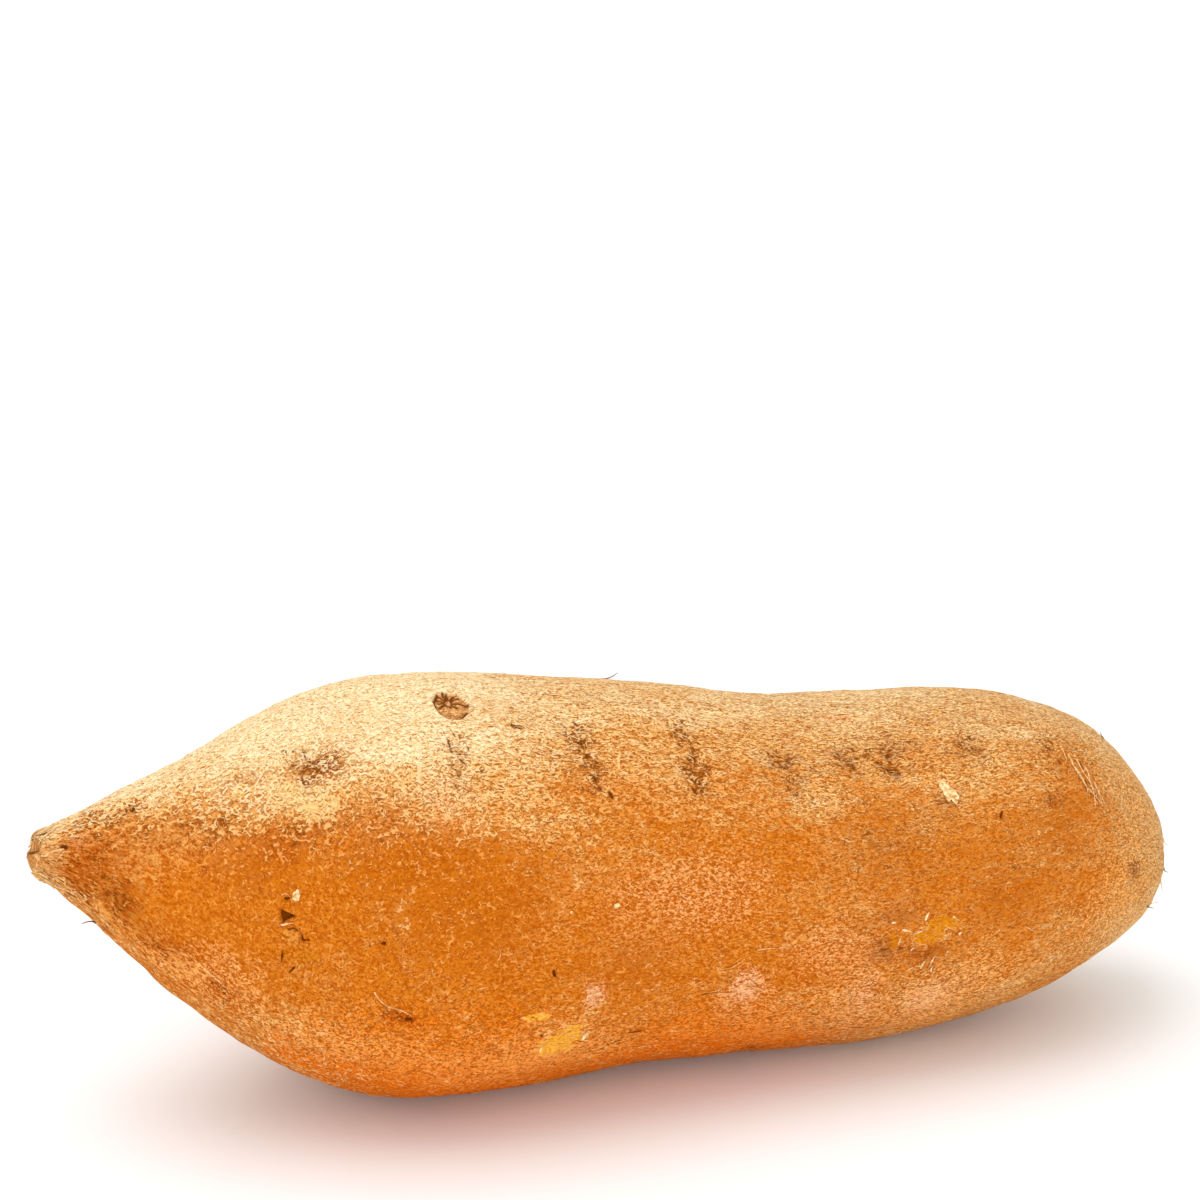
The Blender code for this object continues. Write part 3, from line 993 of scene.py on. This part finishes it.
def skin_finish():
    material = bpy.data.materials.new("skin")
    material.use_nodes = True
    tree = material.node_tree
    shader = tree.nodes["Principled BSDF"]
    times = partial(calc, tree, "MULTIPLY")
    scaled = partial(calc, tree, "MULTIPLY_ADD")  # first * second + third
    stepped = partial(ranged, tree)
    blend = partial(mixed, tree)
    tint = partial(ramp, tree)
    painted = partial(read, tree)
    grain_read = painted("grain", "Vector")

    def felt_of(length, width, detail, seed, waviness=0.35):
        return use_group(tree, felt_group, Grain=grain_read, Length=length, Width=width,
                         Detail=detail, Seed=seed, Waviness=waviness)["Value"]

    def flecks_of(length, width, cover, seed, softness=0.03):
        return use_group(tree, fleck_group, Grain=grain_read, Length=length, Width=width,
                         Cover=cover, Softness=softness, Seed=seed)["Mask"]

    # Fibres: fine and short over most of the root, longer near the pointed end.
    fine = felt_of(0.56, 0.36, 2.0, 1.0, 0.9)
    long_fibres = felt_of(1.9, 0.55, 1.0, 6.0, 0.8)
    from_point = add(tree, "ShaderNodeSeparateXYZ", Vector=grain_read).outputs["X"]
    near_point = stepped(from_point, 42.0, 8.0, 0.05, 0.45)
    fine = add(tree, "ShaderNodeMix", Factor=near_point, A=fine, B=long_fibres).outputs[0]
    strokes = stepped(fine, 0.34, 0.64)
    coarse = felt_of(2.2, 1.2, 2.0, 2.0)
    cloudy = felt_of(14.0, 9.0, 3.0, 3.0)

    def shaded(name, gap_tint):
        """The stored colour, darker in the gaps between the fibres: partly their own colour, partly
        painted shade.
        """
        own_color = painted(name, "Color")
        return blend(1.0, own_color, tint(strokes, (0.0, gap_tint), (1.0, WHITE)), "MULTIPLY")

    # Dust and painted highlight over clean skin, each with darker gaps between paler fibres, the gaps
    # partly painted shade.
    level = calc(tree, "ADD", painted("dust_and_painted_light"), scaled(cloudy, 0.9, -0.45))
    level = calc(tree, "ADD", level, scaled(coarse, 1.0, -0.50))
    dust_and_light_share = stepped(level, 0.0, 0.8)
    depth = calc(tree, "DIVIDE", level, 1.3)
    gaps = tint(depth, (0.0, (0.42, 0.082, 0.001)), (0.27, DARK_GAP),
                (0.50, (0.38, 0.115, 0.010)), (0.77, (0.48, 0.185, 0.028)), (1.0, (0.66, 0.34, 0.095)))
    tops = tint(depth, (0.0, (0.64, 0.190, 0.012)), (0.27, (0.74, 0.285, 0.055)),
                (0.50, (0.92, 0.49, 0.155)), (0.77, (0.99, 0.71, 0.34)), (1.0, (0.99, 0.82, 0.50)))
    color = blend(strokes, gaps, tops)

    # Bare straw where the point broke off.
    straw = tint(long_fibres, (0.34, (0.36, 0.13, 0.025)), (0.50, (0.68, 0.36, 0.12)),
                 (0.66, (0.94, 0.68, 0.36)))
    color = blend(times(painted("stub"), 0.55), color, straw)

    # Stains take the felt's own pattern, so they look grown in.
    stain = painted("stain")
    pattern = scaled(calc(tree, "SUBTRACT", fine, 0.5), 3.0, stain)
    pattern = times(stepped(pattern, 0.12, 0.75), stepped(stain, 0.03, 0.25))
    stain_color = shaded("stain color", (0.62, 0.44, 0.22))
    color = blend(times(pattern, 0.85), color, stain_color)

    # Peeled patches, under the fibres that still cling to them.
    peel = use_group(tree, edge_group, Field=painted("peel"), Grain=grain_read, Ragged=2.0,
                     Softness=0.14, Rim=0.12)
    bare = shaded("peel color", (0.78, 0.60, 0.36))
    color = blend(times(peel["Mask"], 0.92), color, bare)
    color = blend(times(peel["Rim"], 0.6), color, (0.95, 0.66, 0.34))

    # Curled pale fibres, with a painted shadow: a darker line along their lower side, drawn from the
    # same curls shifted a little.
    curl_cover = scaled(dust_and_light_share, 0.25, 0.36)
    below = add(tree, "ShaderNodeVectorMath", {"operation": "ADD"}).outputs[0]
    shift = below.node
    feed(tree, shift.inputs[0], grain_read)
    shift.inputs[1].default_value = (0.02, 0.12, 0.16)
    curls_at = {}
    for key, coordinates in (("on", grain_read), ("below", below)):
        curls_at[key] = use_group(tree, curl_group, Grain=coordinates, Length=1.4, Width=0.80,
                                  Thickness=0.085, Cover=curl_cover, Seed=8.0)["Mask"]
    painted_shadow_line = times(curls_at["below"], stepped(dust_and_light_share, 0.0, 1.0, 0.30, 0.65))
    shadow_and_speck_tint = tint(depth, (0.0, (0.38, 0.062, 0.001)), (0.50, (0.34, 0.085, 0.003)),
                 (1.0, (0.44, 0.145, 0.016)))
    color = blend(painted_shadow_line, color, shadow_and_speck_tint)
    pale = tint(depth, (0.0, (0.80, 0.31, 0.055)), (0.4, (0.98, 0.61, 0.24)), (1.0, (1.0, 0.85, 0.53)))

    # Dark specks, most on dusty skin and crowded where soil sits in the creases.
    soil = scaled(calc(tree, "SUBTRACT", coarse, 0.5), 1.2, painted("soil"))
    soil = stepped(soil, 0.10, 1.0)
    color = blend(times(soil, 0.80), color, (0.74, 0.49, 0.22), "MULTIPLY")
    cover = scaled(soil, 0.28, stepped(dust_and_light_share, 0.0, 1.0, 0.14, 0.33))
    cover = calc(tree, "SUBTRACT", cover, stepped(level, 0.9, 1.3, 0.0, 0.10))
    specks = flecks_of(0.62, 0.40, cover, 4.0)
    worn = calc(tree, "MAXIMUM", stepped(from_point, 52.0, 80.0, 0.45, 1.0),
                stepped(from_point, 34.0, 14.0, 0.0, 1.0))
    on_dust = times(worn, stepped(dust_and_light_share, 0.0, 1.0, 0.35, 0.95))
    speck_depth = calc(tree, "MAXIMUM", on_dust, soil)
    speck_color = blend(soil, shadow_and_speck_tint, (0.20, 0.048, 0.002))
    color = blend(times(specks, speck_depth), color, speck_color)
    split_cover = times(times(dust_and_light_share, worn), 0.27)
    splits = flecks_of(1.7, 0.42, split_cover, 7.0, 0.02)
    color = blend(times(splits, 0.90), color, DARK_GAP)

    # Pale flecks and the curled fibres lie over everything.
    pale_cover = stepped(dust_and_light_share, 0.0, 1.0, 0.10, 0.28)
    flecks = flecks_of(0.60, 0.34, pale_cover, 14.0, 0.04)
    clear = scaled(soil, -0.5, 0.75)
    color = blend(times(flecks, clear), color, pale)
    curl_share = stepped(from_point, 95.0, 125.0, 0.65, 0.30)
    color = blend(times(curls_at["on"], curl_share), color, pale)

    # The star scar, and the dark brown of cracks, holes, splits and crease grooves: the scar's
    # fissures and the creases have it of their own, in the holes, splits, hollows and along the scar's
    # lower rim it is painted shade.
    wood = tint(fine, (0.36, (0.24, 0.055, 0.004)), (0.50, (0.50, 0.19, 0.035)),
                (0.64, (0.80, 0.42, 0.14)))
    color = blend(times(painted("scar"), 0.85), color, wood)
    crack_and_shade = scaled(calc(tree, "SUBTRACT", fine, 0.5), 1.0, painted("crack_and_shade"))
    crack_and_shade = stepped(crack_and_shade, 0.25, 0.68)
    color = blend(times(crack_and_shade, 0.95), color, (0.17, 0.040, 0.001))
    feed(tree, shader.inputs["Base Color"], color)

    bumps = scaled(fine, 1.0, times(coarse, 1.4))
    bumps = scaled(curls_at["on"], 0.10, bumps)
    bumps = scaled(specks, -0.12, bumps)
    bump = add(tree, "ShaderNodeBump", Strength=1.0, Distance=GRAIN_RELIEF, Height=bumps)
    feed(tree, shader.inputs["Normal"], bump.outputs["Normal"])
    feed(tree, shader.inputs["Roughness"], stepped(fine, 0.35, 0.65, 0.70, 0.90))
    shader.inputs["Specular IOR Level"].default_value = SKIN_SHINE
    return material


skin.data.materials.clear()
skin.data.materials.append(skin_finish())

# %% [markdown]
# ## Loose fibres and rootlets
# Dry rootlets as thin as hairs lie on the skin or stand a little off it, and the broken point
# ends in torn strands. A bump can't leave the surface, so each one is a real thread: a small
# circle extruded along a path that follows the finished skin, narrowing to its end.

# %% Paths over the finished skin
relief_tree = tree_of(skin_mesh)


def path_on_skin(along_mm, facing_deg, heading, length, bend=0.0, lift=0.0, wander=0.0, steps=8):
    """Places in millimetres along the skin from a spot. The heading is in degrees from
    lengthwise towards the across direction. The far end is lifted off the skin."""
    place = Spot(relief_tree, along_mm, facing_deg).place
    places = []
    for step in range(steps + 1):
        share = step / steps
        found, normal, _, _ = relief_tree.find_nearest(place * MM)
        places.append(found / MM + (0.03 + lift * share ** 2) * normal)
        lengthwise = (Vector((1.0, 0.0, 0.0)) - normal.x * normal).normalized()
        turn = math.radians(heading + bend * share + dice.uniform(-wander, wander))
        ahead = math.cos(turn) * lengthwise + math.sin(turn) * normal.cross(lengthwise)
        place = found / MM + (length / steps) * ahead
    return places


# %% Threads
THREAD_SIDES = 5


def add_thread(shell, places, thickness, end_share=0.35):
    """A round thread through places in millimetres, narrowing to a share of its thickness."""
    directions = [(after - before).normalized() for before, after in zip(places, places[1:])]
    directions.append(directions[-1])
    frames = []
    for index, (place, direction) in enumerate(zip(places, directions)):
        share = index / (len(places) - 1)
        radius = thickness / 2.0 * (1.0 - (1.0 - end_share) * share)
        turn = Vector((0.0, 0.0, 1.0)).rotation_difference(direction)
        frames.append(Matrix.LocRotScale(place, turn, Vector((radius, radius, radius))))
    start = bmesh.ops.create_circle(
        shell, cap_ends=True, segments=THREAD_SIDES, radius=1.0, matrix=frames[0])
    edges = list({edge for vert in start["verts"] for edge in vert.link_edges})
    for last, now in zip(frames, frames[1:]):
        grown = bmesh.ops.extrude_edge_only(shell, edges=edges)["geom"]
        verts = {item for item in grown if isinstance(item, bmesh.types.BMVert)}
        edges = [item for item in grown
                 if isinstance(item, bmesh.types.BMEdge) and set(item.verts) <= verts]
        bmesh.ops.transform(shell, matrix=now @ last.inverted(), verts=list(verts))
    bmesh.ops.edgeloop_fill(shell, edges=edges)


def finish_piece(name, shell, material):
    """A finished piece from a shell modelled in millimetres."""
    bmesh.ops.recalc_face_normals(shell, faces=shell.faces)
    bmesh.ops.scale(shell, vec=(MM, MM, MM), verts=shell.verts)
    mesh = bpy.data.meshes.new(name)
    shell.to_mesh(mesh)
    shell.free()
    mesh.shade_smooth()
    piece = bpy.data.objects.new(name, mesh)
    bpy.context.scene.collection.objects.link(piece)
    mesh.materials.append(material)
    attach(piece, "root")
    print(f"{name}: {len(mesh.polygons)} faces")


# %% Fibre materials
FIBRE_RELIEF = 0.00005  # metres
FIBRE_SHINE = 0.03


def fibre_material(name, dark, pale, length, width):
    """Dry fibre, streaked lengthwise from dark to pale."""
    material = bpy.data.materials.new(name)
    material.use_nodes = True
    tree = material.node_tree
    shader = tree.nodes["Principled BSDF"]
    in_mm = tree.nodes.new("ShaderNodeMapping")
    feed(tree, in_mm.inputs["Vector"], tree.nodes.new("ShaderNodeTexCoord").outputs["Object"])
    in_mm.inputs["Scale"].default_value = (1.0 / MM, 1.0 / MM, 1.0 / MM)
    felt = use_group(tree, felt_group, Grain=in_mm.outputs[0], Length=length, Width=width)["Value"]
    feed(tree, shader.inputs["Base Color"], ramp(tree, felt, (0.35, dark), (0.62, pale)))
    bump = add(tree, "ShaderNodeBump", Strength=0.6, Distance=FIBRE_RELIEF, Height=felt)
    feed(tree, shader.inputs["Normal"], bump.outputs["Normal"])
    feed(tree, shader.inputs["Roughness"], ranged(tree, felt, 0.35, 0.65, 0.60, 0.80))
    shader.inputs["Specular IOR Level"].default_value = FIBRE_SHINE
    return material


pale_fibre = fibre_material("pale fibre", (0.55, 0.26, 0.07), (0.90, 0.60, 0.29), 1.0, 0.3)
straw_fibre = fibre_material("straw fibre", (0.42, 0.20, 0.055), (0.84, 0.56, 0.26), 1.0, 0.3)
dark_fibre = fibre_material("dark fibre", (0.07, 0.022, 0.004), (0.26, 0.10, 0.022), 1.0, 0.3)
loose_skin = fibre_material("loose skin", (0.50, 0.22, 0.05), (0.96, 0.70, 0.38), 0.7, 0.5)

# %% Rootlets and hairs
# Each row: along, facing, heading, length, bend, lift, thickness.
PALE_HAIRS = (
    (5.4, 142, 172, 5.6, 66, 0.3, 0.44),
    (39.0, 113, -70, 4.5, 90, 0.7, 0.16),
    (37.6, 115, -20, 3.5, -80, 0.5, 0.14),
    (45.1, 189, -64, 3.2, 46, 0.1, 0.28),
    (47.0, 193.4, -16, 3.8, -24, 0.1, 0.26),
    (161.2, 124, -80, 8.5, 20, 0.6, 0.32),
    (162.6, 126, -94, 7.0, 45, 0.5, 0.26),
    (163.6, 129, -84, 7.5, -20, 0.7, 0.30),
    (161.8, 130, -62, 5.0, -50, 0.4, 0.22),
    (163.4, 138, -50, 4.0, -60, 0.6, 0.24),
    (165.0, 140, -110, 4.0, 60, 0.4, 0.22),
    (164.6, 136, -88, 4.5, 10, 0.8, 0.24),
    (160.4, 120, -70, 4.0, -70, 0.4, 0.24),
    (181.4, 160, -60, 2.2, 40, 1.0, 0.22),
    (180.0, 200, -80, 2.4, -50, 1.0, 0.22),
    (177.4, 214, -40, 2.0, 40, 1.0, 0.22),
    (179.0, 120, 20, 2.0, 40, 0.9, 0.20),
    (104.4, 184, 2, 6.5, -18, 0.1, 0.15),
    (98.2, 190, -12, 4.6, 60, 0.3, 0.20),
    (99.0, 193, -5, 2.5, -60, 0.2, 0.14),
    (92.0, 165, -75, 2.4, 70, 0.4, 0.18),
    (105.5, 178, -40, 2.2, 50, 0.2, 0.14),
    (119.6, 198, -70, 5.0, -30, 0.2, 0.15),
    (121.0, 200, -100, 5.6, 30, 0.2, 0.15),
    (118.0, 205, -65, 4.0, 30, 0.1, 0.14),
    (22.8, 200, -34, 5.0, 8, 0.1, 0.26),
    (25.8, 213, -94, 2.6, 6, 0.1, 0.24),
    (128.0, 196, -50, 2.4, 60, 0.4, 0.15),
    (129.4, 195, 50, 2.0, -60, 0.5, 0.17),
    (131.0, 193, -70, 2.2, 40, 0.4, 0.15),
    (58.0, 30, 80, 6.0, 60, 0.8, 0.16),
    (101.0, 44, 100, 5.0, -70, 0.6, 0.15),
    (142.0, 350, -60, 6.0, 50, 0.7, 0.16),
    (30.0, 20, 40, 5.0, -60, 0.6, 0.15),
)
DARK_HAIRS = (
    (92.6, 70, -12, 2.6, -14, 1.1, 0.30),
    (96.0, 199, 6, 5.0, -14, 0.0, 0.16),
    (9.6, 240, 172, 1.6, 10, 1.5, 0.34),
    (3.6, 98, 150, 1.3, 20, 1.0, 0.40),
    (1.6, 120, 180, 0.8, 0, 0.6, 0.40),
    (71.0, 114, -15, 2.2, -30, 0.1, 0.22),
    (113.0, 40, 70, 2.4, 30, 0.8, 0.28),
    (180.6, 190, -70, 1.5, 30, 0.8, 0.24),
    (176.4, 211, -50, 1.6, 30, 0.8, 0.26),
    (172.0, 100, 160, 1.4, 30, 0.5, 0.22),
    (66.0, 330, -40, 3.0, 50, 0.8, 0.26),
)


def threads_of(rows, wander, steps, *end_share):
    """A shell of threads, one for each row of a table."""
    shell = bmesh.new()
    for *where, bend, lift, thickness in rows:
        path = path_on_skin(*where, bend, lift, wander=wander, steps=steps)
        add_thread(shell, path, thickness, *end_share)
    return shell


pale_shell = threads_of(PALE_HAIRS, 14.0, 12)
dark_shell = threads_of(DARK_HAIRS, 10.0, 8)

# Short loose fibres all over, most of them lying nearly lengthwise.
LOOSE_FIBRES = 170
CLEAR_OF_TABLE = 1.0  # millimetres
for _ in range(LOOSE_FIBRES):
    places = path_on_skin(
        dice.uniform(6.0, 176.0), dice.uniform(0.0, 360.0), dice.gauss(0.0, 35.0),
        dice.uniform(0.8, 2.6), dice.uniform(-110.0, 110.0), dice.uniform(0.0, 0.25), steps=5)
    if min(place.z for place in places) > CLEAR_OF_TABLE:
        add_thread(pale_shell, places, dice.uniform(0.09, 0.15))

# %% Torn strands at the point
# Each row: along, facing, heading, length, bend, lift, thickness.
STRANDS = (
    (5.4, 146, -150, 2.0, 30, 0.3, 0.26),
    (3.0, 214, 176, 2.6, -10, 0.1, 0.40),
    (4.4, 226, 180, 3.2, 0, 0.1, 0.42),
    (6.4, 214, 178, 3.0, 8, 0.1, 0.30),
    (4.4, 104, 175, 4.2, 20, 0.2, 0.50),
    (5.0, 80, 186, 4.5, -15, 0.2, 0.50),
    (4.2, 55, 180, 4.0, 20, 0.3, 0.55),
    (5.2, 20, 175, 4.6, -20, 0.3, 0.55),
    (4.6, 340, 180, 4.2, 15, 0.2, 0.60),
    (5.4, 300, 184, 4.8, -12, 0.2, 0.55),
    (4.4, 262, 178, 4.2, 18, 0.2, 0.60),
)
finish_piece("pale_hairs", pale_shell, pale_fibre)
finish_piece("dark_rootlets", dark_shell, dark_fibre)
finish_piece("torn_strands", threads_of(STRANDS, 8.0, 10, 0.5), straw_fibre)

# %% [markdown]
# ## Skin flakes
# Where the skin has peeled or blistered, thin dry flakes curl up from it. Each is a small grid,
# bent like a leaf and given a thickness, set on the skin with one edge touching.

# %% Flakes
# Each row: along, facing, turned, length, width, curl, narrowing.
FLAKES = (
    (138.3, 137.5, 22, 2.6, 4.6, 0.30, 0.30),
    (35.1, 160, -20, 1.3, 1.7, 0.35, 0.30),
    (33.6, 169.4, 14, 1.7, 0.55, 0.12, 0.80),
    (77.9, 208, 40, 2.1, 0.7, 0.35, 0.60),
    (78.3, 211, -50, 1.4, 0.5, 0.30, 0.60),
    (71.0, 212, 60, 1.1, 0.4, 0.20, 0.60),
    (81.9, 168, 20, 1.0, 0.9, 0.20, 0.20),
    (74.7, 169, -30, 0.7, 0.5, 0.15, 0.40),
    (154.5, 130, 0, 0.8, 0.6, 0.15, 0.30),
    (128.7, 181, -20, 1.6, 0.5, 0.25, 0.60),
    (130.8, 182, 8, 2.0, 0.30, 0.15, 0.60),
    (132.1, 177, 55, 1.4, 0.45, 0.25, 0.50),
    (137.0, 179, -40, 1.6, 0.30, 0.25, 0.60),
    (133.2, 192, 60, 2.3, 0.35, 0.35, 0.80),
    (135.6, 190, 55, 1.2, 0.35, 0.30, 0.80),
    (133.3, 195, 62, 1.4, 0.30, 0.30, 0.80),
    (127.6, 184, 75, 1.2, 0.35, 0.25, 0.60),
    (126.6, 178, -15, 0.9, 0.40, 0.20, 0.50),
    (129.8, 187, 30, 1.1, 0.45, 0.30, 0.60),
    (131.6, 193, 50, 1.4, 0.45, 0.30, 0.60),
    (137.6, 184, 20, 0.8, 0.40, 0.20, 0.50),
    (98.9, 197, 30, 0.8, 0.4, 0.20, 0.50),
    (96.4, 13, 20, 1.8, 1.2, 0.45, 0.50),
    (127.0, 14, -30, 2.0, 0.9, 0.40, 0.60),
    (52.0, 18, 10, 1.6, 0.8, 0.35, 0.60),
    (140.0, 22, 60, 1.4, 0.9, 0.35, 0.50),
)
FLAKE_THICKNESS = 0.06
FLAKE_GAP = 0.06


def add_flake(shell, spot, length, width, curl, narrowing):
    """A bent sheet with torn edges. It narrows towards the back of the root."""
    flake = bmesh.new()
    bmesh.ops.create_grid(flake, x_segments=8, y_segments=8, size=0.5)
    for vert in flake.verts:
        x, y = vert.co.x, vert.co.y
        torn = 1.0 + 0.5 * noise.noise(Vector((4.0 * x + spot.along, 4.0 * y, spot.facing)))
        rounding = 1.0 - 6.0 * (x * y) ** 2
        long_way = y if width > length else x
        taper = 1.0 - narrowing * (0.5 + long_way)
        side = (x * taper, y) if width > length else (x, y * taper)
        vert.co.x = side[0] * length * torn * rounding
        vert.co.y = side[1] * width * torn * rounding
        vert.co.z = curl * ((0.5 - long_way) ** 2 + 0.5 * x * y)
    bmesh.ops.solidify(flake, geom=flake.faces, thickness=FLAKE_THICKNESS)
    turn = Matrix((spot.lengthwise, spot.across, spot.out)).transposed().to_4x4()
    bmesh.ops.transform(flake, matrix=Matrix.Translation(spot.at(0.0, 0.0, FLAKE_GAP)) @ turn,
                        verts=flake.verts)
    loose = bpy.data.meshes.new("loose flake")
    flake.to_mesh(loose)
    flake.free()
    shell.from_mesh(loose)
    bpy.data.meshes.remove(loose)


flake_shell = bmesh.new()
for along_mm, facing_deg, turned, *shape in FLAKES:
    add_flake(flake_shell, Spot(relief_tree, along_mm, facing_deg, turned), *shape)
finish_piece("skin_flakes", flake_shell, loose_skin)
